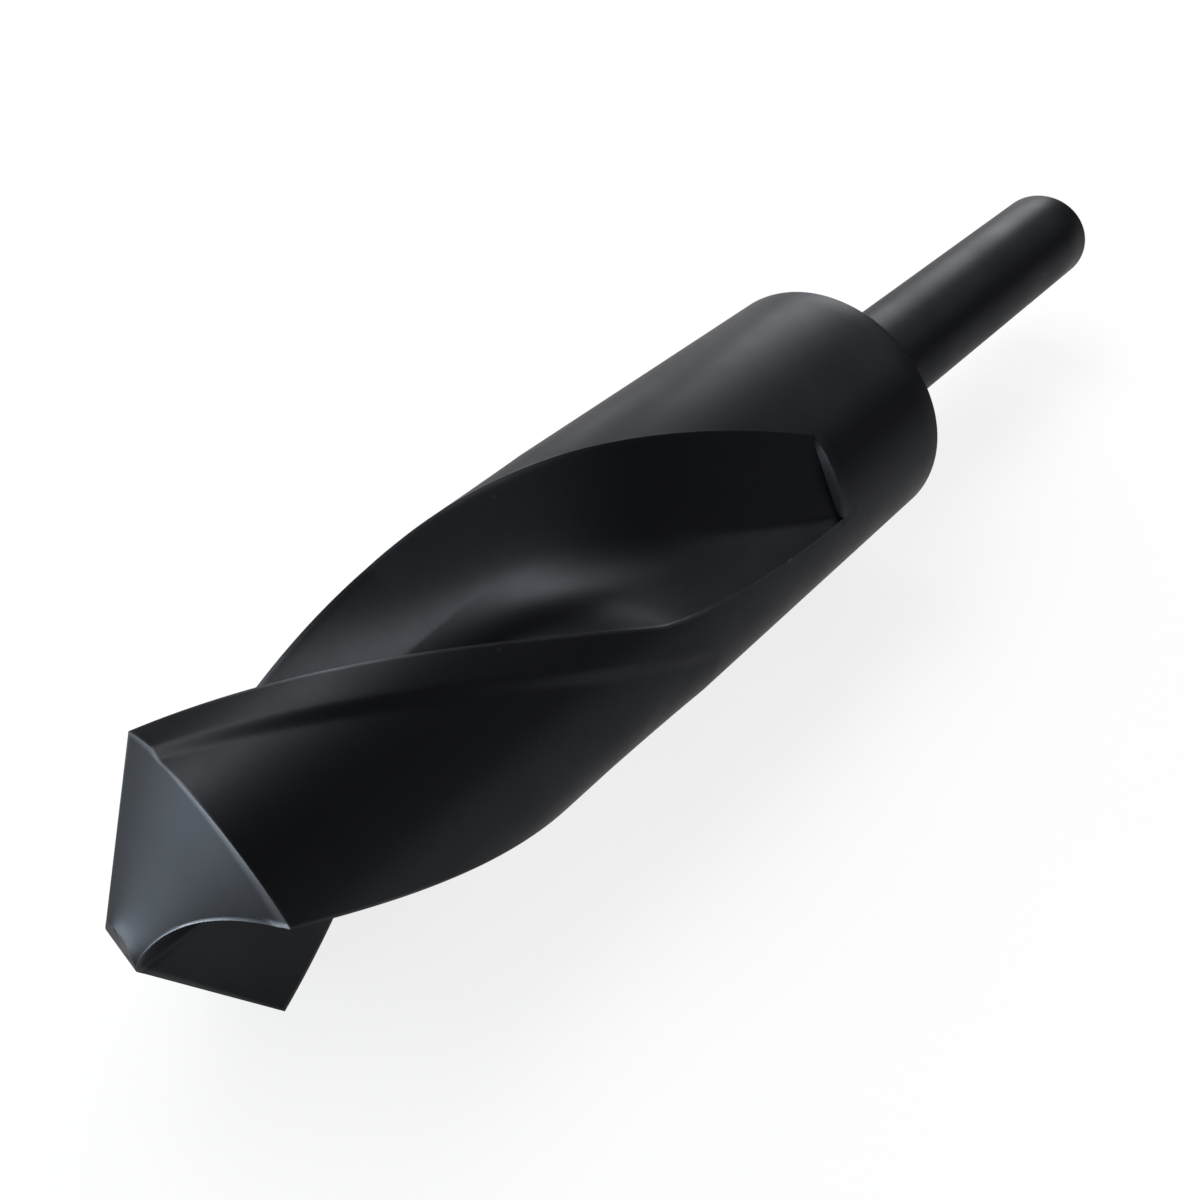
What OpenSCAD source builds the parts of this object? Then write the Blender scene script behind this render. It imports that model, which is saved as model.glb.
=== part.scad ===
// Reduced shank twist drill: one solid bar with two right-hand flutes, a plain
// collar behind them and a thinner straight shank.
//
// The bit lies along X with its point towards -X. The origin is on its axis, where the
// shank leaves the collar. +Z is up. All lengths are in millimetres, angles in degrees.

/* [Cutting end] */
// Diameter that the bit cuts
cut_d = 30; // [18:0.5:50]
// Length from the chisel edge to the end of the flutes
flute_len = 76; // [64:1:120]
// Angle of the flutes to the axis, at the outer diameter
helix_angle = 28.5; // [20:0.5:36]
// Thickness of the core between the two flutes
web = 4.3; // [2.5:0.1:6]
// Angle that one land covers at the outer diameter
land_angle = 81.5; // [70:0.5:92]
// Angle between the wall under a heel and the radius to that heel
heel_hook = 13; // [4:1:20]

/* [Point] */
// Angle between the two lips
point_angle = 118; // [100:1:140]
// Drop of each flank from its lip to its heel, at the outer diameter
heel_drop = 0.7; // [0.2:0.1:3]
// Drop of each flank beside the chisel edge, at the core
core_drop = 0.4; // [0.2:0.1:2]

/* [Margins] */
// Width of the margin along each leading edge, square to that edge
margin_w = 2.9; // [1:0.1:4]
// Depth of the body clearance behind each margin
clearance = 0.35; // [0.1:0.05:0.8]
// Length of the body clearance, from the chisel edge
clearance_len = 55; // [30:1:60]

/* [Run-out] */
// Length over which the flutes rise out of the bar
runout_len = 39.5; // [24:0.5:46]
// How late each leading edge turns into its flute; 1 turns it evenly
lead_bend = 1.3; // [1:0.05:2]
// Angle by which each heel edge turns into its flute at the end
heel_turn = 22; // [10:1:30]
// Depth of each flute's blunt end
end_depth = 0.35; // [0.2:0.05:0.8]

/* [Collar and shank] */
// Length of the plain collar behind the flutes
collar_len = 19; // [10:0.5:40]
// Chamfer on the collar's rear edge
collar_chamfer = 0.5; // [0.2:0.1:1.5]
// Diameter of the shank
shank_d = 12.7; // [8:0.1:14]
// Length of the shank behind the collar
shank_len = 57; // [30:1:90]
// Chamfer on the shank's free end
shank_chamfer = 0.9; // [0.3:0.1:2.5]

/* [Rest] */
// Turn of the bit about its axis, from +Y to the outer corner of its first lip
lip_turn = 61; // [0:1:359]

/* [Hidden] */

steel = [0.13, 0.135, 0.145];
cut_r = cut_d / 2;
core_r = web / 2;
shank_r = shank_d / 2;
flute_angle = 180 - land_angle;
turn_per_mm = tan(helix_angle) * 180 / (PI * cut_r);
margin_angle = margin_w / cos(helix_angle) * 180 / (PI * cut_r);

// the straight lips run ahead of the line through the axis, up to this radius
lip_ahead = 0.86 * core_r;
lip_inner_r = 1.35 * core_r;
point_h = -lip_x(core_r);

// stations along the axis, from the plane of the lips' outer corners
flute_end = flute_len - point_h;
runout_start = flute_end - runout_len;
lead_turn_start = runout_start + 0.31 * runout_len;
wall_flat_from = runout_start + 0.55 * runout_len;
clearance_end = clearance_len - point_h;
clearance_fade = 0.8;
heel_fade = 16;
full_section = 3;
end_wall = 0.3;
shank_root = 3;
corner_x = -collar_len - flute_end;

// the flute's bottom comes nearest to the axis at this angle from the leading edge
core_angle = -42;

// in the run-out the bottom rises slowly, then fast, and swings towards the leading edge and back
rise_start_power = 1.3;
rise_end_power = 2.5;
valley_swing = 8;
valley_swing_power = 0.7;
valley_end = -core_angle - 3;
core_point = polar(core_r, core_angle);
core_way = polar(1, core_angle - 90);
lip_end = rake_point(lip_inner_r);
lip_end_before = rake_point(1.02 * lip_inner_r);
lip_end_way = (lip_end - lip_end_before) / norm(lip_end - lip_end_before);
heel_corner = polar(cut_r, -flute_angle);
heel_way = polar(1, -flute_angle + heel_hook);

// how finely the outline and the length are divided
lip_steps = 8;
wall_steps = 11;
land_steps = 17;
tip_rings = 3;
body_rings = 13;
runout_rings = 12;
round_fn = 96;

function clamp01(t) = max(0, min(1, t));
function mix(a, b, t) = a + (b - a) * t;
function polar(r, a) = [r * cos(a), r * sin(a)];
function bezier(a, b, c, d, t) =
    pow(1 - t, 3) * a + 3 * pow(1 - t, 2) * t * b + 3 * (1 - t) * t * t * c + pow(t, 3) * d;

// Station of a straight lip where it is at radius r
function lip_x(r) =
    (sqrt(r * r - lip_ahead * lip_ahead) - sqrt(cut_r * cut_r - lip_ahead * lip_ahead)) / tan(point_angle / 2);

// The rake face is what a straight lip leaves when the helix carries it along
function rake_point(r) =
    polar(r, asin(lip_ahead / cut_r) - asin(lip_ahead / r) - turn_per_mm * lip_x(r));

// Both walls of a flute, from the outer diameter (k = 0) to the core (k = wall_steps)
function rake_wall(k) =
    k <= lip_steps
        ? rake_point(mix(cut_r, lip_inner_r, k / lip_steps))
        : bezier(lip_end, lip_end + 0.35 * core_r * lip_end_way,
                 core_point - 0.35 * core_r * core_way, core_point,
                 (k - lip_steps) / (wall_steps - lip_steps));
function heel_wall(k) =
    bezier(heel_corner, heel_corner - 0.47 * cut_r * heel_way,
           core_point + core_r * core_way, core_point, pow(k / wall_steps, 0.8));

// Each wall point as [radius, angle from the leading edge of its own land]
rake = [for (k = [0:wall_steps]) let (p = rake_wall(k)) [norm(p), atan2(p[1], p[0])]];
heel = [for (k = [0:wall_steps]) let (p = heel_wall(k)) [norm(p), atan2(p[1], p[0]) + 180]];

// The land between them as [angle, share of the clearance], with the margin first
cleared_steps = land_steps - 3;
cleared_from = 1.3 * margin_angle;
land = concat(
    [[0, 0], [margin_angle / 2, 0], [margin_angle, 0], [cleared_from, 1]],
    [for (i = [1:cleared_steps]) [mix(cleared_from, land_angle, i / cleared_steps), 1]]);

// What changes along the length
function along(x, from, to) = clamp01((x - from) / (to - from));
function soft_along(x, from, to) = let (t = along(x, from, to)) t * t * (3 - 2 * t);
function bottom_r(x) =
    let (rise = pow(along(x, runout_start, flute_end), rise_start_power))
    mix(core_r, cut_r - end_depth, 1 - pow(1 - rise, rise_end_power));
function edge_r(x, share, angle) =
    cut_r - share * clearance
        * clamp01((clearance_end + clearance_fade - x) / mix(clearance_fade, heel_fade, angle / land_angle));
function lead_in(x) = valley_end * pow(along(x, lead_turn_start, flute_end), lead_bend);
function heel_in(x) = heel_turn * along(x, runout_start, flute_end);
function valley(x) =
    core_angle + valley_swing * sin(180 * pow(along(x, lead_turn_start, flute_end), valley_swing_power));

// Behind the clearance, the land's points move until they are evenly spaced
function evened(x) = along(x, clearance_end, (clearance_end + flute_end) / 2);

// Points of the section at station x: [radius, angle] in the turning frame
function wall_r(r, x) = mix(bottom_r(x), cut_r, (r - core_r) / (cut_r - core_r));
function in_polar(p) = [norm(p), atan2(p[1], p[0])];
function on_outside(p, x) = x > flute_end ? [cut_r, p[1]] : p;

// In the run-out the leading wall becomes one hollow curve, which flattens towards the end
function rake_at(k, x) =
    let (t = 1 - k / wall_steps, edge = -lead_in(x),
         own = polar(wall_r(rake[k][0], x), mix(edge, valley(x), rake[k][1] / core_angle)),
         a = polar(bottom_r(x), valley(x)), b = polar(cut_r, edge),
         hollow = a + norm(b - a) / 2 * polar(1, valley(x) + 90),
         c = mix(hollow, (a + b) / 2, along(x, runout_start, lead_turn_start)),
         opened = (1 - t) * (1 - t) * a + 2 * t * (1 - t) * c + t * t * b)
    on_outside(in_polar(mix(own, opened, soft_along(x, runout_start, lead_turn_start))), x);

// and the wall under the heel becomes one flat run down to the valley
function heel_at(k, x) =
    let (t = 1 - k / wall_steps, edge = -flute_angle + heel_in(x),
         own = polar(wall_r(heel[k][0], x),
                     mix(valley(x), edge, (heel[k][1] - 180 - core_angle) / (-flute_angle - core_angle))),
         run = mix(polar(bottom_r(x), valley(x)), polar(cut_r, edge), t),
         p = on_outside(in_polar(mix(own, run, soft_along(x, runout_start, wall_flat_from))), x))
    [min(p[0], edge_r(x, 1, land_angle)), 180 + p[1]];
function land_at(j, x) =
    let (a = land[j][0])
    [edge_r(x, land[j][1], a),
     mix(a < margin_angle
             ? a - lead_in(x) * (1 - a / margin_angle)
             : a + heel_in(x) * (a - margin_angle) / (land_angle - margin_angle),
         mix(-lead_in(x), land_angle + heel_in(x), j / land_steps),
         evened(x))];

// The flank at share s of the way from lip to heel, on row k from the rim to the core,
// where it rises again to the chisel edge
function flank_x(r, s, k) = lip_x(r) + mix(heel_drop * pow(s, 0.8), core_drop * sin(180 * s), k / wall_steps);
function heel_tip_r(k) = mix(core_r, cut_r - clearance, (heel[k][0] - core_r) / (cut_r - core_r));
function land_share(j) = land[j][0] / land_angle;

// Stations of the rings: the first few follow the flanks, the last two make the collar's rear edge
collar_end = flute_end + collar_len;
stations = concat(
    [for (i = [0:body_rings]) mix(full_section, clearance_end, i / body_rings)],
    [for (i = [0:runout_rings]) mix(clearance_end + clearance_fade, flute_end, sin(90 * i / runout_rings))],
    [flute_end + end_wall],
    [collar_end - collar_chamfer, collar_end]);
last_ring = tip_rings + len(stations) - 1;
function station(q, tip_x) =
    q <= tip_rings ? mix(tip_x, full_section, q / tip_rings) : stations[q - tip_rings];

// A section point in the bit's own frame, on the first land or half a turn on
function placed(p, x, half) =
    let (r = p[0] - max(0, x - collar_end + collar_chamfer),
         a = lip_turn + p[1] + turn_per_mm * min(x, flute_end) + 180 * half)
    [corner_x + x, r * cos(a), r * sin(a)];

// Half of ring q: out along the rake face, round the land and in along the heel's wall
function half_ring(q, half) = concat(
    [for (k = [wall_steps:-1:0])
        let (x = station(q, lip_x(rake[k][0]))) placed(rake_at(k, x), x, half)],
    [for (j = [1:land_steps - 1])
        let (x = station(q, flank_x(cut_r - land[j][1] * clearance, land_share(j), 0)))
            placed(land_at(j, x), x, half)],
    [for (k = [0:wall_steps - 1])
        let (x = station(q, flank_x(heel_tip_r(k), 1, k))) placed(heel_at(k, x), x, half)]);
function flank_points(half) = [
    for (k = [1:wall_steps], j = [1:land_steps - 1])
        let (s = land_share(j), r = mix(rake[k][0], heel_tip_r(k), s), x = flank_x(r, s, k))
            placed([r, mix(rake[k][1], heel[k][1], s)], x, half)];

half_count = 2 * wall_steps + land_steps;
ring_count = 2 * half_count;
flank_start = (last_ring + 1) * ring_count;
flank_count = wall_steps * (land_steps - 1);
tip_index = flank_start + 2 * flank_count;
shoulder_index = tip_index + 1;

// Index of the flank's grid point on row k and column j
function flank_index(half, k, j) =
    k > 0 && j > 0 && j < land_steps
        ? flank_start + half * flank_count + (k - 1) * (land_steps - 1) + j - 1
        : (half * half_count + (k == 0 ? wall_steps + j
                                : j == 0 ? wall_steps - k
                                : wall_steps + land_steps + k)) % ring_count;

bar_points = concat(
    [for (q = [0:last_ring], half = [0, 1]) each half_ring(q, half)],
    flank_points(0), flank_points(1), [[corner_x - point_h, 0, 0], [0, 0, 0]]);

// The flutes' points lie close together where the flutes have run out, so the collar's two rings
// keep only some of them
function kept(n) =
    n < wall_steps / 2 ? 0
    : n <= wall_steps ? wall_steps
    : n < wall_steps + land_steps ? n
    : min(half_count, wall_steps + land_steps + 3 * round((n - wall_steps - land_steps) / 3));
function ring_index(q, i) =
    let (half = floor(i / half_count), n = i % half_count)
    q * ring_count + (half * half_count + (q < last_ring - 1 ? n : kept(n))) % ring_count;

side_faces = [
    for (q = [0:last_ring - 1], i = [0:ring_count - 1])
        let (j = (i + 1) % ring_count,
             a = ring_index(q, i), b = ring_index(q, j), c = ring_index(q + 1, j), d = ring_index(q + 1, i))
            each concat(c == d ? [] : [[a, d, c]], a == b ? [] : [[a, c, b]])];
flank_faces = [
    for (half = [0, 1], k = [0:wall_steps - 1], j = [0:land_steps - 1])
        let (a = flank_index(half, k, j), b = flank_index(half, k, j + 1),
             c = flank_index(half, k + 1, j + 1), d = flank_index(half, k + 1, j))
            each [[a, b, c], [a, c, d]]];
chisel_faces = [
    for (half = [0, 1], j = [0:land_steps - 1])
        [flank_index(half, wall_steps, j), flank_index(half, wall_steps, j + 1), tip_index]];
shoulder_faces = [
    for (i = [0:ring_count - 1])
        let (a = ring_index(last_ring, i), b = ring_index(last_ring, (i + 1) % ring_count))
            if (a != b) [b, a, shoulder_index]];

// The full-width bar: ground point, fluted length and collar
module bar() {
    polyhedron(bar_points, concat(side_faces, flank_faces, chisel_faces, shoulder_faces), convexity = 8);
}

// The shank, rooted inside the collar
module shank() {
    rotate([0, 90, 0])
        rotate_extrude($fn = round_fn)
            polygon([[0, -shank_root], [shank_r, -shank_root], [shank_r, shank_len - shank_chamfer],
                     [shank_r - shank_chamfer, shank_len], [0, shank_len]]);
}

module drill_bit() {
    color(steel) {
        bar();
        shank();
    }
}

drill_bit();
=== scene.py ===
import math
import bmesh
import bpy
import numpy as np
from mathutils import Matrix, Vector


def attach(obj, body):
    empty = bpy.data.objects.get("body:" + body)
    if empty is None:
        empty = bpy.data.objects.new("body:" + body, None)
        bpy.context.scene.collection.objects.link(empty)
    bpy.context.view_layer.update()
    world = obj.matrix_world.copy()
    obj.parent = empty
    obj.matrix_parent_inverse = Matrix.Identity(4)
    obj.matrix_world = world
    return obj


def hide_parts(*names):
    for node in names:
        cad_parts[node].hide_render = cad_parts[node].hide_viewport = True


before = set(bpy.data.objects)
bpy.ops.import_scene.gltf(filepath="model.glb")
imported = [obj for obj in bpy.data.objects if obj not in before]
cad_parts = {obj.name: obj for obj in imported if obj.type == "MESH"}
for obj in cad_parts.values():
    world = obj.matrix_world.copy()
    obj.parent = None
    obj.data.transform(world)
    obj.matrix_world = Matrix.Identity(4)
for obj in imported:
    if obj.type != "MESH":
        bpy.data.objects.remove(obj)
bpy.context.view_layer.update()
mm = 0.001

# sizes of the bit in millimetres and degrees
bit = {
    "cutDiameter": 30.0,
    "fluteLength": 76.0,
    "helixAngle": 28.5,
    "web": 4.3,
    "landAngle": 81.5,
    "heelHook": 13.0,
    "pointAngle": 118.0,
    "heelDrop": 0.7,
    "coreDrop": 0.4,
    "marginWidth": 2.9,
    "marginBlend": 0.55,
    "clearance": 0.35,
    "clearanceLength": 55.0,
    "runoutLength": 39.5,
    "leadBend": 1.3,
    "heelTurn": 22.0,
    "collarLength": 19.0,
    "collarChamfer": 0.5,
    "shankDiameter": 12.7,
    "shankLength": 57.0,
    "rootRadius": 0.5,
    "shankChamfer": 0.9,
    "restTurn": 61.0,
}

# inside of the run-out: stations are in millimetres from the outer corner of the lip
runout = {
    "bottomRadius": ((18.0, 28.0, 34.0, 40.0, 46.0, 52.0, 58.0, 64.0, 67.7, 72.0),
                     (2.15, 3.6, 6.0, 8.7, 10.3, 11.3, 12.5, 13.8, 14.6, 15.0)),
    "bottomAngle": ((18.0, 25.0, 31.0, 37.0, 43.0, 50.0, 56.0, 62.0, 68.0, 74.0),
                    (-42.0, -40.0, -32.5, -26.0, -29.5, -34.5, -34.0, -35.5, -38.5, -41.0)),
    "smoothReach": 5.0,
    "rakeOpens": (16, 35),
    "rakeHollow": 0.05,
    "heelFlattens": (18, 50),
    "valleyRound": 4.5,
    "valleyEndRound": 0.7,
    "valleyRounds": (14, 26),
    "valleySharpens": (32, 56),
}

# how finely the surface is divided
mesh = {
    "wallSteps": 44,
    "lipSteps": 30,
    "landSteps": 60,
    "marginSteps": 8,
    "marginBlendSteps": 8,
    "tipRings": 14,
    "bodyRings": 84,
    "runoutRings": 80,
    "collarRings": 8,
    "shankRings": 12,
}


# values that follow from the sizes
cutR = bit["cutDiameter"] / 2
coreR = bit["web"] / 2
shankR = bit["shankDiameter"] / 2
fluteAngle = 180 - bit["landAngle"]
turnPerMm = math.degrees(math.tan(math.radians(bit["helixAngle"])) / cutR)
marginAngle = math.degrees(bit["marginWidth"] / math.cos(math.radians(bit["helixAngle"])) / cutR)
lipAhead = 0.86 * coreR
lipInnerR = 1.35 * coreR
coreAngle = -42.0
lipSlope = math.tan(math.radians(bit["pointAngle"] / 2))


def lipStation(r):  # how far a straight lip reaches along the axis at radius r
    return (np.sqrt(r * r - lipAhead ** 2) - math.sqrt(cutR ** 2 - lipAhead ** 2)) / lipSlope


pointHeight = -float(lipStation(np.float64(coreR)))
fluteEnd = bit["fluteLength"] - pointHeight
runoutStart = fluteEnd - bit["runoutLength"]
leadTurnStart = fluteEnd - 0.69 * bit["runoutLength"]
valleyEnd = -coreAngle - 3
endWall = 0.3
clearanceEnd = bit["clearanceLength"] - pointHeight
clearanceFade = 0.35
heelFade = 16.0
collarEnd = fluteEnd + bit["collarLength"]
cornerX = -collarEnd
fullSection = 3.0


def polar(r, a):
    return np.array([r * math.cos(math.radians(a)), r * math.sin(math.radians(a))])


def bezier(a, b, c, d, t):
    t = np.asarray(t)[:, None]
    return (1 - t) ** 3 * a + 3 * (1 - t) ** 2 * t * b + 3 * (1 - t) * t * t * c + t ** 3 * d


def rakePoint(r):
    ahead = math.degrees(math.asin(lipAhead / cutR) - math.asin(lipAhead / r))
    return polar(r, ahead - turnPerMm * float(lipStation(np.float64(r))))


# both walls of a flute, from the outer diameter to the core, as radius and angle from the leading edge
def fluteWalls():
    corePoint = polar(coreR, coreAngle)
    coreWay = polar(1, coreAngle - 90)
    lipEnd = rakePoint(lipInnerR)
    lipWay = lipEnd - rakePoint(1.02 * lipInnerR)
    lipWay /= np.linalg.norm(lipWay)
    lips, walls = mesh["lipSteps"], mesh["wallSteps"]
    straight = np.array([rakePoint(cutR + (lipInnerR - cutR) * k / lips) for k in range(lips + 1)])
    bend = bezier(lipEnd, lipEnd + 0.35 * coreR * lipWay, corePoint - 0.35 * coreR * coreWay, corePoint,
                  np.arange(1, walls - lips + 1) / (walls - lips))
    rake = np.vstack([straight, bend])
    heelCorner = polar(cutR, -fluteAngle)
    heelWay = polar(1, -fluteAngle + bit["heelHook"])
    heel = bezier(heelCorner, heelCorner - 0.47 * cutR * heelWay, corePoint + coreR * coreWay, corePoint,
                  (np.arange(walls + 1) / walls) ** 0.8)
    rakeR, rakeA = np.hypot(*rake.T), np.degrees(np.arctan2(rake[:, 1], rake[:, 0]))
    heelR, heelA = np.hypot(*heel.T), np.degrees(np.arctan2(heel[:, 1], heel[:, 0]))
    return rakeR, rakeA, heelR, heelA


rakeR, rakeA, heelR, heelA = fluteWalls()


# the land behind the leading edge: angle, and how much of the clearance applies there
def landOutline():
    steps = mesh["landSteps"]
    rim = mesh["marginSteps"]
    angles = list(np.linspace(0, marginAngle, rim + 1))
    share = [0.0] * (rim + 1)
    for f in np.linspace(0, 1, mesh["marginBlendSteps"] + 1)[1:]:
        angles.append(marginAngle * (1 + bit["marginBlend"] * f))
        share.append(f * f * (3 - 2 * f))
    rest = steps - len(angles) + 1
    angles += list(np.linspace(angles[-1], bit["landAngle"], rest + 1)[1:])
    share += [1.0] * rest
    return np.array(angles), np.array(share)


landA, landShare = landOutline()
landSteps = len(landA) - 1


def clamp01(t):
    return np.clip(t, 0, 1)


def mix(a, b, t):
    return a + (b - a) * t


def along(x, start, end):
    return clamp01((x - start) / (end - start))


def softAlong(x, start, end):
    t = along(x, start, end)
    return t * t * (3 - 2 * t)


# a curve through some stations, smoothed over a few millimetres
reachSteps = np.linspace(-1, 1, 21)
reachWeight = (1 - (reachSteps / 1.05) ** 2) ** 2
reachWeight /= reachWeight.sum()


def smoothCurve(x, curve):
    return float(np.interp(x + runout["smoothReach"] * reachSteps, *curve) @ reachWeight)


# the bottom of a flute
def bottomR(x):
    return smoothCurve(x, runout["bottomRadius"])


def valley(x):
    return smoothCurve(x, runout["bottomAngle"])


def edgeR(x, share, angle):
    fade = mix(clearanceFade, heelFade, angle / bit["landAngle"])
    return cutR - share * bit["clearance"] * clamp01((clearanceEnd + clearanceFade - x) / fade)


def leadIn(x):
    return valleyEnd * along(x, leadTurnStart, fluteEnd) ** bit["leadBend"]


def heelIn(x):
    return bit["heelTurn"] * along(x, runoutStart, fluteEnd)


def wallR(r, x):
    return mix(bottomR(x), cutR, (r - coreR) / (cutR - coreR))


def polarRows(r, a):
    return np.column_stack([r * np.cos(np.radians(a)), r * np.sin(np.radians(a))])


def inPolar(rows, x):
    r = np.hypot(*rows.T) if x <= fluteEnd else np.full(len(rows), cutR)
    return r, np.degrees(np.arctan2(rows[:, 1], rows[:, 0]))


rakeShare = ((rakeR - coreR) / (cutR - coreR))[:, None]
heelShare = ((heelR - coreR) / (cutR - coreR))[:, None]


# in the run-out the leading wall becomes one hollow curve, which flattens towards the end
def rakeRows(x):
    t, edge = rakeShare, -leadIn(x)
    own = polarRows(wallR(rakeR, x), mix(edge, valley(x), rakeA / coreAngle))
    a, b = polar(bottomR(x), valley(x)), polar(cutR, edge)
    across = b - a
    c = (a + b) / 2 + runout["rakeHollow"] * np.array([across[1], -across[0]])
    opened = (1 - t) ** 2 * a + 2 * t * (1 - t) * c + t * t * b
    return mix(own, opened, softAlong(x, *runout["rakeOpens"]))


# and the wall under the heel becomes one flat run down to the valley
def heelRows(x):
    edge = -fluteAngle + heelIn(x)
    own = polarRows(wallR(heelR, x), mix(valley(x), edge, (heelA - coreAngle) / (-fluteAngle - coreAngle)))
    run = mix(polar(bottomR(x), valley(x)), polar(cutR, edge), heelShare)
    return mix(own, run, softAlong(x, *runout["heelFlattens"]))


# distance of each row from the valley, along the wall
def fromValley(rows):
    out = rows if np.hypot(*rows[0]) < np.hypot(*rows[-1]) else rows[::-1]
    steps = np.concatenate([[0], np.cumsum(np.hypot(*np.diff(out, axis=0).T))])
    return steps if out is rows else steps[::-1]


def pointAt(rows, d, reach):
    order = np.argsort(d)
    return np.array([np.interp(reach, d[order], rows[order, i]) for i in (0, 1)])


# the valley itself is rounded between the two walls, and grows sharp where the flute ends
def rounded(rows, others, x):
    reach = mix(runout["valleyRound"], runout["valleyEndRound"], softAlong(x, *runout["valleySharpens"]))
    reach *= softAlong(x, *runout["valleyRounds"])
    if reach < 0.05 or x > fluteEnd:
        return rows
    d, e = fromValley(rows), fromValley(others)
    near, far = pointAt(rows, d, reach), pointAt(others, e, reach)
    bottom = rows[int(np.argmin(d))]
    u = (0.5 * (1 - np.minimum(d / reach, 1)))[:, None]
    bent = (1 - u) ** 2 * near + 2 * u * (1 - u) * bottom + u * u * far
    return np.where(d[:, None] < reach, bent, rows)


def rakeAt(x):
    return inPolar(rounded(rakeRows(x), heelRows(x), x), x)


def heelAt(x):
    r, a = inPolar(rounded(heelRows(x), rakeRows(x), x), x)
    return np.minimum(r, edgeR(x, 1, bit["landAngle"])), a + 180


def landAt(x):
    lead, heel = leadIn(x), heelIn(x)
    own = np.where(landA < marginAngle, landA - lead * (1 - landA / marginAngle),
                   landA + heel * (landA - marginAngle) / (bit["landAngle"] - marginAngle))
    even = mix(-lead, bit["landAngle"] + heel, np.arange(landSteps + 1) / landSteps)
    return mix(own, even, along(x, clearanceEnd, (clearanceEnd + fluteEnd) / 2))


def heelTipR(k):
    return mix(coreR, cutR - bit["clearance"], (heelR[k] - coreR) / (cutR - coreR))


def flankX(r, s, k):
    outer, inner = bit["heelDrop"] * s ** 0.8, bit["coreDrop"] * math.sin(math.pi * s)
    return lipStation(r) + mix(outer, inner, k / mesh["wallSteps"])


# stations of the rings along the axis, the tip's own rings follow the flanks
runoutSpread = np.sin(np.radians(np.linspace(0, 90, mesh["runoutRings"] + 1)))
stations = np.concatenate([
    np.linspace(fullSection, clearanceEnd, mesh["bodyRings"] + 1),
    mix(clearanceEnd + clearanceFade, fluteEnd, runoutSpread),
    np.linspace(fluteEnd + endWall, collarEnd - bit["collarChamfer"], mesh["collarRings"] + 1),
])


# half of ring q as rows of station, radius and angle, before the twist
def halfRing(q, half):
    walls = mesh["wallSteps"]
    share = min(q / mesh["tipRings"], 1.0)
    bodyX = stations[max(q - mesh["tipRings"], 0)]
    cleared = cutR - bit["clearance"] * landShare
    rakeTips = [float(lipStation(r)) for r in rakeR]
    landTips = [float(flankX(cleared[j], landA[j] / bit["landAngle"], 0)) for j in range(landSteps + 1)]
    heelTips = [float(flankX(heelTipR(k), 1.0, k)) for k in range(walls + 1)]
    parts = [(rakeAt, rakeTips, range(walls, -1, -1)),
             (lambda x: (edgeR(x, landShare, landA), landAt(x)), landTips, range(1, landSteps)),
             (heelAt, heelTips, range(walls))]
    rows = []
    for section, tips, order in parts:
        whole = section(bodyX) if share == 1 else None
        for n in order:
            x = bodyX if share == 1 else mix(tips[n], fullSection, share)
            r, a = whole if share == 1 else section(x)
            rows.append((x, r[n], a[n] + 180 * half))
    return np.array(rows)


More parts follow.
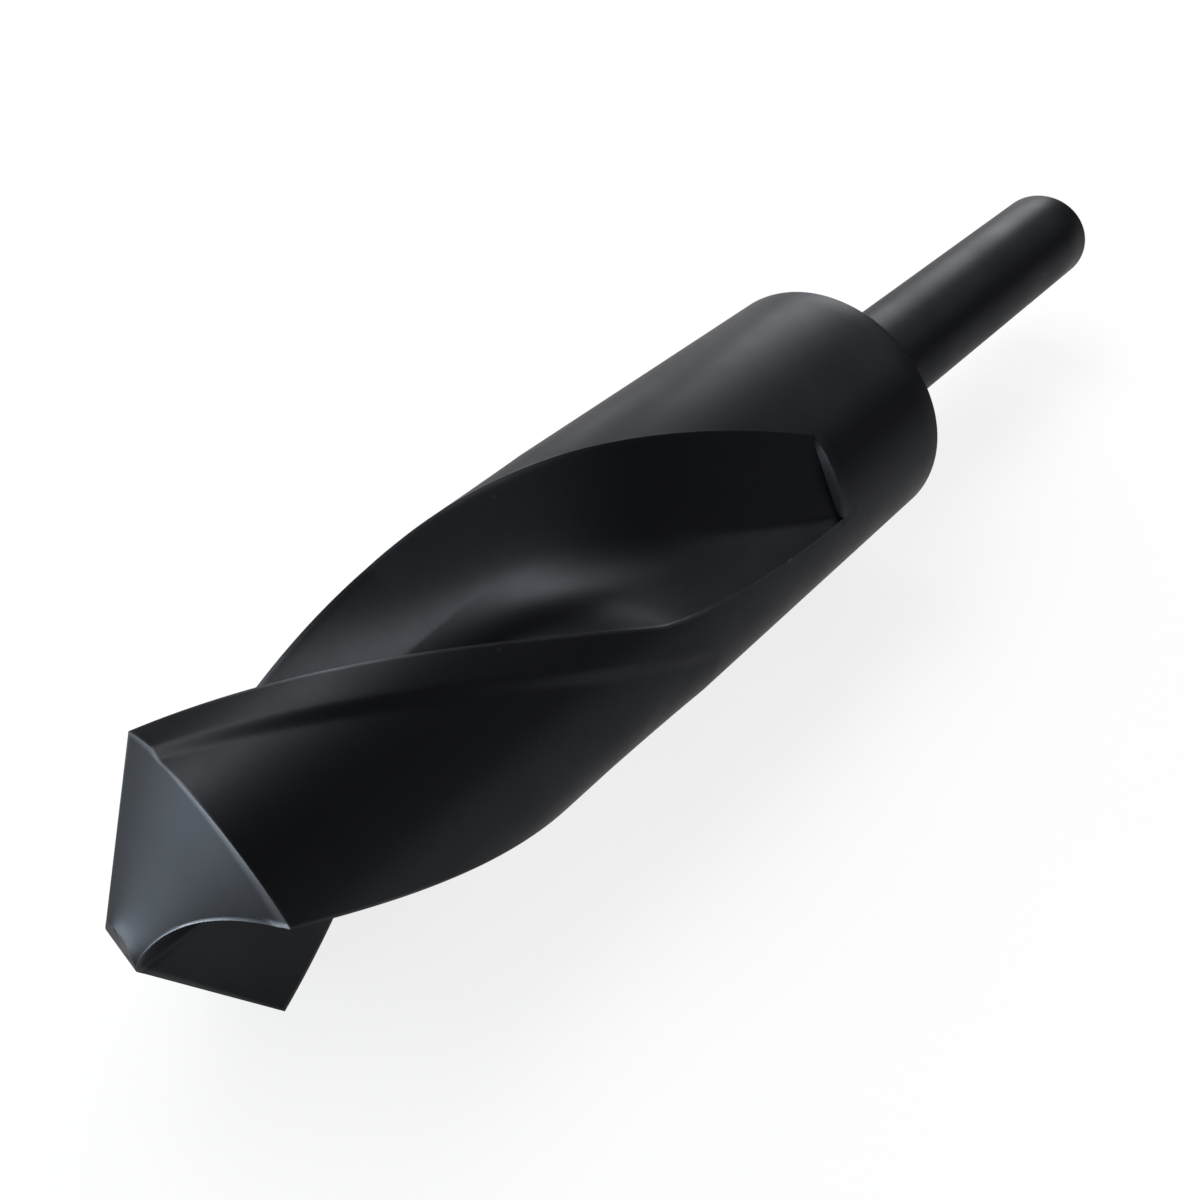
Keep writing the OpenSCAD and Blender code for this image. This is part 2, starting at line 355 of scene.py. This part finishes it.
# the bit with straight flutes: points as station, radius, angle; the node tree below gives the twist
def straightBit():
    walls = mesh["wallSteps"]
    rings = mesh["tipRings"] + len(stations)
    halfCount = 2 * walls + landSteps
    ringCount = 2 * halfCount
    rows = [halfRing(q, half) for q in range(rings) for half in (0, 1)]
    faces = []
    for q in range(rings - 1):
        for i in range(ringCount):
            a, b = q * ringCount + i, q * ringCount + (i + 1) % ringCount
            faces.append((b, b + ringCount, a + ringCount, a))
    flankStart = rings * ringCount
    flankCount = walls * (landSteps - 1)
    for half in (0, 1):
        grid = []
        for k in range(1, walls + 1):
            for j in range(1, landSteps):
                s = landA[j] / bit["landAngle"]
                r = mix(rakeR[k], heelTipR(k), s)
                grid.append((float(flankX(r, s, k)), r, mix(rakeA[k], heelA[k] + 180, s) + 180 * half))
        rows.append(np.array(grid))

    def flankIndex(half, k, j):
        if k > 0 and 0 < j < landSteps:
            return flankStart + half * flankCount + (k - 1) * (landSteps - 1) + j - 1
        own = walls + j if k == 0 else walls - k if j == 0 else walls + landSteps + k
        return (half * halfCount + own) % ringCount

    for half in (0, 1):
        for k in range(walls):
            for j in range(landSteps):
                faces.append((flankIndex(half, k + 1, j), flankIndex(half, k + 1, j + 1),
                              flankIndex(half, k, j + 1), flankIndex(half, k, j)))
    tip = flankStart + 2 * flankCount
    rows.append(np.array([(-pointHeight, 0.0, 0.0)]))
    for half in (0, 1):
        for j in range(landSteps):
            faces.append((tip, flankIndex(half, walls, j + 1), flankIndex(half, walls, j)))

    # collar's rear edge, shoulder, shank and its end, carried on from the last ring
    last = np.vstack([halfRing(rings - 1, 0), halfRing(rings - 1, 1)])
    c, root, end = bit["collarChamfer"], bit["rootRadius"], bit["shankLength"]
    profile = [(collarEnd - c * (1 - math.sin(t)), cutR - c * (1 - math.cos(t)))
               for t in np.radians([30, 60, 90])]
    profile += [(collarEnd, mix(cutR - c, shankR + root, t)) for t in (0.33, 0.66, 1.0)]
    profile += [(collarEnd + root * (1 - math.cos(t)), shankR + root * (1 - math.sin(t)))
                for t in np.radians([22, 45, 68, 90])]
    profile += [(collarEnd + mix(root, end - bit["shankChamfer"], t), shankR)
                for t in np.linspace(0, 1, mesh["shankRings"] + 1)[1:]]
    profile += [(collarEnd + end - bit["shankChamfer"] * (1 - t), shankR - bit["shankChamfer"] * s)
                for t, s in ((0.25, 0.1), (0.5, 0.3), (0.85, 0.72), (1.0, 1.0))]
    profile += [(collarEnd + end, 0.6 * shankR), (collarEnd + end, 0.25 * shankR)]
    start = tip + 1
    previous = (rings - 1) * ringCount
    for n, (x, r) in enumerate(profile):
        ring = last.copy()
        ring[:, 0], ring[:, 1] = x, r
        rows.append(ring)
        here = start + n * ringCount
        for i in range(ringCount):
            b = (i + 1) % ringCount
            faces.append((previous + b, here + b, here + i, previous + i))
        previous = here
    centre = start + len(profile) * ringCount
    rows.append(np.array([(collarEnd + end, 0.0, 0.0)]))
    for i in range(ringCount):
        faces.append((previous + (i + 1) % ringCount, centre, previous + i))
    return np.vstack(rows), faces


def buildStraightMesh():
    rows, faces = straightBit()
    a = np.radians(rows[:, 2])
    points = np.column_stack([rows[:, 0], rows[:, 1] * np.cos(a), rows[:, 1] * np.sin(a)]) * mm
    data = bpy.data.meshes.new("drillBitStraight")
    data.from_pydata(points.tolist(), [], faces)
    data.validate()
    return data


# node tree that twists a straight-fluted bit about X and moves its shoulder to the origin
def twistTree():
    tree = bpy.data.node_groups.new("helixTwist", "GeometryNodeTree")
    face = tree.interface
    face.new_socket("Geometry", in_out="INPUT", socket_type="NodeSocketGeometry")
    for name, value in (("Turn per metre", 0.0), ("Twist end", 0.0), ("Rest turn", 0.0), ("Shift", 0.0)):
        face.new_socket(name, in_out="INPUT", socket_type="NodeSocketFloat").default_value = value
    face.new_socket("Finish", in_out="INPUT", socket_type="NodeSocketMaterial")
    face.new_socket("Geometry", in_out="OUTPUT", socket_type="NodeSocketGeometry")

    def node(kind, inputs=None, **settings):
        made = tree.nodes.new(kind)
        for key, value in settings.items():
            setattr(made, key, value)
        for key, value in (inputs or {}).items():
            socket = made.inputs[key]
            if isinstance(value, bpy.types.NodeSocket):
                tree.links.new(value, socket)
            else:
                socket.default_value = value
        return made

    given = node("NodeGroupInput")
    place = node("GeometryNodeInputPosition")
    parts = node("ShaderNodeSeparateXYZ", {0: place.outputs[0]})
    along = node("ShaderNodeMath", {0: parts.outputs[0], 1: given.outputs["Twist end"]}, operation="MINIMUM")
    turned = node("ShaderNodeMath", {0: along.outputs[0], 1: given.outputs["Turn per metre"],
                                     2: given.outputs["Rest turn"]}, operation="MULTIPLY_ADD")
    spun = node("ShaderNodeVectorRotate", {"Vector": place.outputs[0], "Angle": turned.outputs[0]},
                rotation_type="X_AXIS")
    shift = node("ShaderNodeCombineXYZ", {0: given.outputs["Shift"]})
    moved = node("ShaderNodeVectorMath", {0: spun.outputs[0], 1: shift.outputs[0]}, operation="ADD")
    placed = node("GeometryNodeSetPosition", {"Geometry": given.outputs["Geometry"],
                                              "Position": moved.outputs[0]})
    real = node("GeometryNodeRealizeInstances", {"Geometry": placed.outputs[0]})
    finished = node("GeometryNodeSetMaterial", {"Geometry": real.outputs[0],
                                                "Material": given.outputs["Finish"]})
    node("NodeGroupOutput", {"Geometry": finished.outputs[0]})
    return tree


# runs a node tree on a mesh and returns a plain object with the result
def throughTree(name, data, tree, values):
    carrier = bpy.data.objects.new(name, data)
    bpy.context.scene.collection.objects.link(carrier)
    modifier = carrier.modifiers.new("build", "NODES")
    modifier.node_group = tree
    for item in tree.interface.items_tree:
        if item.in_out == "INPUT" and item.name in values:
            modifier[item.identifier] = values[item.name]
    made = bpy.data.meshes.new_from_object(carrier.evaluated_get(bpy.context.evaluated_depsgraph_get()))
    carrier.modifiers.remove(modifier)
    carrier.data = made
    made.name = name
    bpy.data.meshes.remove(data)
    return carrier


# one shader socket with Python's operators, so that masks read as plain sums
class Value:
    def __init__(self, sheet, socket):
        self.sheet, self.socket = sheet, socket

    def combine(self, other, operation, swap=False):
        other = other.socket if isinstance(other, Value) else other
        first, second = (other, self.socket) if swap else (self.socket, other)
        return self.sheet.value("ShaderNodeMath", {0: first, 1: second}, operation=operation)

    def __add__(self, other):
        return self.combine(other, "ADD")

    def __radd__(self, other):
        return self.combine(other, "ADD")

    def __sub__(self, other):
        return self.combine(other, "SUBTRACT")

    def __rsub__(self, other):
        return self.combine(other, "SUBTRACT", True)

    def __mul__(self, other):
        return self.combine(other, "MULTIPLY")

    def __rmul__(self, other):
        return self.combine(other, "MULTIPLY")


class Sheet:  # a material's node sheet
    def __init__(self, name):
        self.material = bpy.data.materials.new(name)
        self.material.use_nodes = True
        self.tree = self.material.node_tree
        self.tree.nodes.clear()

    def node(self, kind, inputs=None, output=0, **settings):
        made = self.tree.nodes.new(kind)
        ramp = settings.pop("ramp", None)
        for key, value in settings.items():
            setattr(made, key, value)
        if ramp:
            stops = made.color_ramp.elements
            for n, (at, value) in enumerate(ramp):
                stop = stops[n] if n < 2 else stops.new(at)
                stop.position = at
                stop.color = (value, value, value, 1) if isinstance(value, (int, float)) else (*value, 1)
        for key, value in (inputs or {}).items():
            if isinstance(value, Value):
                value = value.socket
            if isinstance(value, bpy.types.NodeSocket):
                self.tree.links.new(value, made.inputs[key])
            else:
                made.inputs[key].default_value = value
        return made.outputs[output] if made.outputs else made

    def value(self, kind, inputs=None, output=0, **settings):
        return Value(self, self.node(kind, inputs, output, **settings))

    def ramp(self, source, stops):
        return self.value("ShaderNodeValToRGB", {0: source}, ramp=stops)

    def blend(self, factor, a, b):
        return self.node("ShaderNodeMix", {0: factor, 6: a, 7: b}, output=2, data_type="RGBA")


# finish of the blackened steel
blackOxide = {
    "colour": (0.0215, 0.0225, 0.0252, 1),
    "darkColour": (0.0185, 0.0193, 0.0216, 1),
    # pale colour of worn edges and dust specks; on the edges it is also a painted highlight
    "paleWearDustAndGlintColour": (0.060, 0.062, 0.067, 1),
    "edgeGlintAndWearShare": 0.75,
    "metallic": 1.0,
    "edgeTint": (0.6, 0.6, 0.6, 1),
    "edgeFrom": 14,
    "edgeFull": 50,
    "edgeEndShare": 0.3,
    "edgeFades": (38, 50),
    "roughness": 0.41,
    "grainSize": 0.00035,
    "blotchScale": 420.0,
    "cloudScale": 90.0,
    "speckSpacing": 0.0065,
    "speckSize": 0.00022,
    "grindSpacing": 0.0004,
}


def blackOxideSteel():
    sheet = Sheet("blackOxideSteel")
    place = sheet.node("ShaderNodeTexCoord", output=3)
    cloud = sheet.value("ShaderNodeTexNoise", {"Vector": place, "Scale": blackOxide["cloudScale"],
                                               "Detail": 4.0, "Roughness": 0.55})
    grain = sheet.value("ShaderNodeTexNoise", {"Vector": place, "Scale": 1 / blackOxide["grainSize"],
                                               "Detail": 3.0, "Roughness": 0.6})
    blotch = sheet.value("ShaderNodeTexNoise", {"Vector": place, "Scale": blackOxide["blotchScale"],
                                                "Detail": 3.0, "Roughness": 0.6})
    patch = sheet.ramp(cloud, [(0.35, 0.0), (0.68, 1.0)])
    colour = sheet.blend(patch, blackOxide["colour"], blackOxide["darkColour"])

    # the finish is lighter along the outer edges, unevenly: partly wear, partly a painted highlight for the
    # light that edges catch
    edge = sheet.value("ShaderNodeAttribute", attribute_name="edgeGlintAndWear", output=2)
    shineAndWear = sheet.ramp(edge * (blotch + 0.45), [(0.12, 0.0), (0.75, 1.0)]) * blackOxide["edgeGlintAndWearShare"]
    colour = sheet.blend(shineAndWear, colour, blackOxide["paleWearDustAndGlintColour"])

    # a few pale specks of dust and tiny nicks
    cell = {"Vector": place, "Scale": 1 / blackOxide["speckSpacing"], "Randomness": 1.0}
    reach = sheet.value("ShaderNodeTexVoronoi", cell)
    size = blackOxide["speckSize"] / blackOxide["speckSpacing"]
    speck = sheet.ramp(reach, [(0.6 * size, 1.0), (1.6 * size, 0.0)])
    colour = sheet.blend(speck * 0.6, colour, blackOxide["paleWearDustAndGlintColour"])

    # rings left by turning and grinding, too fine to be seen singly
    parts = sheet.node("ShaderNodeSeparateXYZ", {0: place})
    drift = sheet.value("ShaderNodeTexNoise", {"Vector": place, "Scale": 160.0, "Detail": 1.0})
    lines = sheet.value("ShaderNodeTexNoise", {
        "W": Value(sheet, parts) * (1 / blackOxide["grindSpacing"]) + drift * 2.0,
        "Scale": 1.0, "Detail": 1.0}, noise_dimensions="1D")
    rough = blackOxide["roughness"] + 0.05 * patch + 0.07 * (grain - 0.5)
    rough = rough + 0.05 * (lines - 0.5) - 0.06 * shineAndWear
    height = grain * 0.5 + lines * 0.2 + blotch * 0.5
    bump = sheet.node("ShaderNodeBump", {"Height": height, "Distance": 0.00002, "Strength": 0.3})
    shader = sheet.node("ShaderNodeBsdfPrincipled", {
        "Base Color": colour, "Metallic": blackOxide["metallic"], "Roughness": rough, "Normal": bump,
        "Specular Tint": blackOxide["edgeTint"]})
    sheet.node("ShaderNodeOutputMaterial", {"Surface": shader})
    return sheet.material


# how much each point stands on an outer edge, from the angle between the faces there; the material lightens
# these edges, partly as wear and partly as a painted highlight
def markEdges(data):
    start, full = blackOxide["edgeFrom"], blackOxide["edgeFull"]
    shape = bmesh.new()
    shape.from_mesh(data)
    glintAndWearAmount = np.zeros(len(shape.verts), dtype=np.float32)
    for edge in shape.edges:
        if len(edge.link_faces) == 2:
            share = clamp01((math.degrees(edge.calc_face_angle_signed(0)) - start) / (full - start))
            for corner in edge.verts:
                station = corner.co.x / mm - cornerX
                kept = mix(1, blackOxide["edgeEndShare"], softAlong(station, *blackOxide["edgeFades"]))
                glintAndWearAmount[corner.index] = max(glintAndWearAmount[corner.index], share * kept)
    shape.free()
    data.attributes.new("edgeGlintAndWear", "FLOAT", "POINT").data.foreach_set("value", glintAndWearAmount)


print("building the bit")
steel = blackOxideSteel()
drill = throughTree("drillBitBody", buildStraightMesh(), twistTree(), {
    "Turn per metre": math.radians(turnPerMm) / mm,
    "Twist end": fluteEnd * mm,
    "Rest turn": math.radians(bit["restTurn"]),
    "Shift": cornerX * mm,
    "Finish": steel,
})
markEdges(drill.data)
drill.data.shade_smooth()
drill.data.set_sharp_from_angle(angle=math.radians(24))
print("bit has", len(drill.data.polygons), "faces")

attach(drill, "root")
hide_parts("drill_bit")


# floor and lights
studio = {
    "floorZ": -15.0 * mm,
    "floorSize": 3.0,
    "floorColour": (0.16, 0.16, 0.16, 1),
    "floorGlow": 0.82,
    "worldColour": (0.95, 0.97, 1.0, 1),
    "worldStrength": 0.10,
    "centre": (-0.03, 0.0, 0.0),
}


def buildFloor():
    size, z = studio["floorSize"], studio["floorZ"]
    data = bpy.data.meshes.new("studioFloor")
    corners = [(-size, -size, z), (size, -size, z), (size, size, z), (-size, size, z)]
    data.from_pydata(corners, [], [(0, 1, 2, 3)])
    floor = bpy.data.objects.new("studioFloor", data)
    bpy.context.scene.collection.objects.link(floor)
    sheet = Sheet("paleFloor")
    rays = sheet.tree.nodes.new("ShaderNodeLightPath")
    seen = rays.outputs["Is Camera Ray"]
    for other in ("Is Glossy Ray", "Is Transmission Ray"):
        seen = sheet.value("ShaderNodeMath", {0: seen, 1: rays.outputs[other]}, operation="MAXIMUM")
    matt = sheet.node("ShaderNodeBsdfDiffuse", {"Color": studio["floorColour"]})
    glow = sheet.node("ShaderNodeEmission", {"Color": (1, 1, 1, 1), "Strength": seen * studio["floorGlow"]})
    both = sheet.node("ShaderNodeAddShader", {0: matt, 1: glow})
    sheet.node("ShaderNodeOutputMaterial", {"Surface": both})
    data.materials.append(sheet.material)


# lamps: azimuth and elevation of each, distance, width and height, radiance, colour
lamps = {
    "overheadSoftbox": (110, 58, 0.60, (0.54, 0.23), 6.8, (1.0, 1.0, 1.0)),
    "overheadRightSoftbox": (45, 62, 0.60, (0.26, 0.26), 2.4, (1.0, 1.0, 1.0)),
    "backRightSoftbox": (30, 18, 0.60, (0.30, 0.22), 11.5, (1.0, 1.0, 1.0)),
    "backStrip": (60, 5.5, 0.60, (0.30, 0.13), 7.5, (1.0, 1.0, 1.0)),
    "rightSoftbox": (-16, 38, 0.60, (0.50, 0.20), 1.5, (1.0, 1.0, 1.0)),
    "frontFill": (-80, 26, 0.60, (0.50, 0.30), 0.3, (1.0, 1.0, 1.0)),
    "leftStrip": (164, 5.5, 0.60, (0.60, 0.14), 27.0, (0.84, 0.94, 1.0)),
}


def softLamp(name, azimuth, elevation, distance, size, radiance, colour):
    light = bpy.data.lights.new(name, "AREA")
    light.shape = "RECTANGLE"
    light.size, light.size_y = size
    light.energy = radiance * math.pi * size[0] * size[1]
    light.color = colour
    lamp = bpy.data.objects.new(name, light)
    bpy.context.scene.collection.objects.link(lamp)
    centre = Vector(studio["centre"])
    a, e = math.radians(azimuth), math.radians(elevation)
    way = Vector((math.cos(e) * math.cos(a), math.cos(e) * math.sin(a), math.sin(e)))
    lamp.location = centre + way * distance
    lamp.rotation_euler = way.to_track_quat("Z", "Y").to_euler()
    return lamp


def buildWorld():
    world = bpy.data.worlds.new("studioWorld")
    world.use_nodes = True
    background = world.node_tree.nodes["Background"]
    background.inputs["Color"].default_value = studio["worldColour"]
    background.inputs["Strength"].default_value = studio["worldStrength"]
    bpy.context.scene.world = world


print("lighting the scene")
buildFloor()
buildWorld()
for name, values in lamps.items():
    softLamp(name, *values)

# camera at the photograph's angle, found from the outlines of collar, shank and lands
view = {
    "eye": (-0.10080, -0.04652, 0.08481),
    "right": (0.721594918, -0.692315516, 0.0),
    "down": (-0.474925333, -0.495010871, -0.727605777),
    "forward": (0.503732769, 0.525036631, -0.685995505),
    "focal": 1109.1,
    "centre": (483.66, 483.86),
    "frame": 1200.0,
}


def buildCamera():
    data = bpy.data.cameras.new("photoCamera")
    camera = bpy.data.objects.new("photoCamera", data)
    bpy.context.scene.collection.objects.link(camera)
    right, up, back = Vector(view["right"]), -Vector(view["down"]), -Vector(view["forward"])
    turn = Matrix((right, up, back)).transposed()
    camera.matrix_world = Matrix.Translation(Vector(view["eye"])) @ turn.to_4x4()
    data.sensor_width = 36.0
    data.sensor_fit = "HORIZONTAL"
    data.lens = view["focal"] / view["frame"] * 36.0
    data.shift_x = (view["frame"] / 2 - view["centre"][0]) / view["frame"]
    data.shift_y = (view["centre"][1] - view["frame"] / 2) / view["frame"]
    data.clip_start, data.clip_end = 0.005, 20.0
    bpy.context.scene.camera = camera


buildCamera()
bpy.context.scene.view_settings.view_transform = "Standard"

print("scene is ready")
